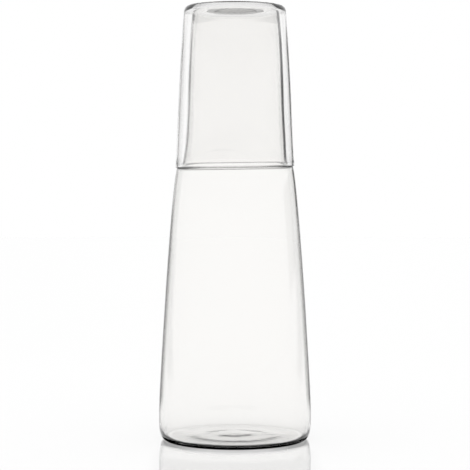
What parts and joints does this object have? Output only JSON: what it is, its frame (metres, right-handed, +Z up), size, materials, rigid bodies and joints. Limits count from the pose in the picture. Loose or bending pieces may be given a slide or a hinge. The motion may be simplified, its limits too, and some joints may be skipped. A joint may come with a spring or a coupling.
{
  "type": "carafe with tumbler",
  "caption": "Tapered clear glass carafe with a tall neck, closed by a clear glass tumbler that stands upside down over the neck on the carafe's shoulder and lifts off.",
  "frame": {"origin": "on the table, at the centre of the carafe's foot", "axes": "+Z up along the common axis of carafe and tumbler; both are round, so +X and +Y are free choices"},
  "size_m": [0.096, 0.096, 0.2719],
  "materials": {
    "clear_glass": "clear, smooth, fire-polished blown glass"
  },
  "bodies": {
    "carafe": {"carafe": "clear_glass"},
    "tumbler": {"tumbler": "clear_glass"}
  },
  "joints": [
    {"name": "tumbler_lift", "type": "slide", "parent": "carafe", "child": "tumbler", "axis": [0, 0, 1], "range_m": [0, 0.12]}
  ]
}
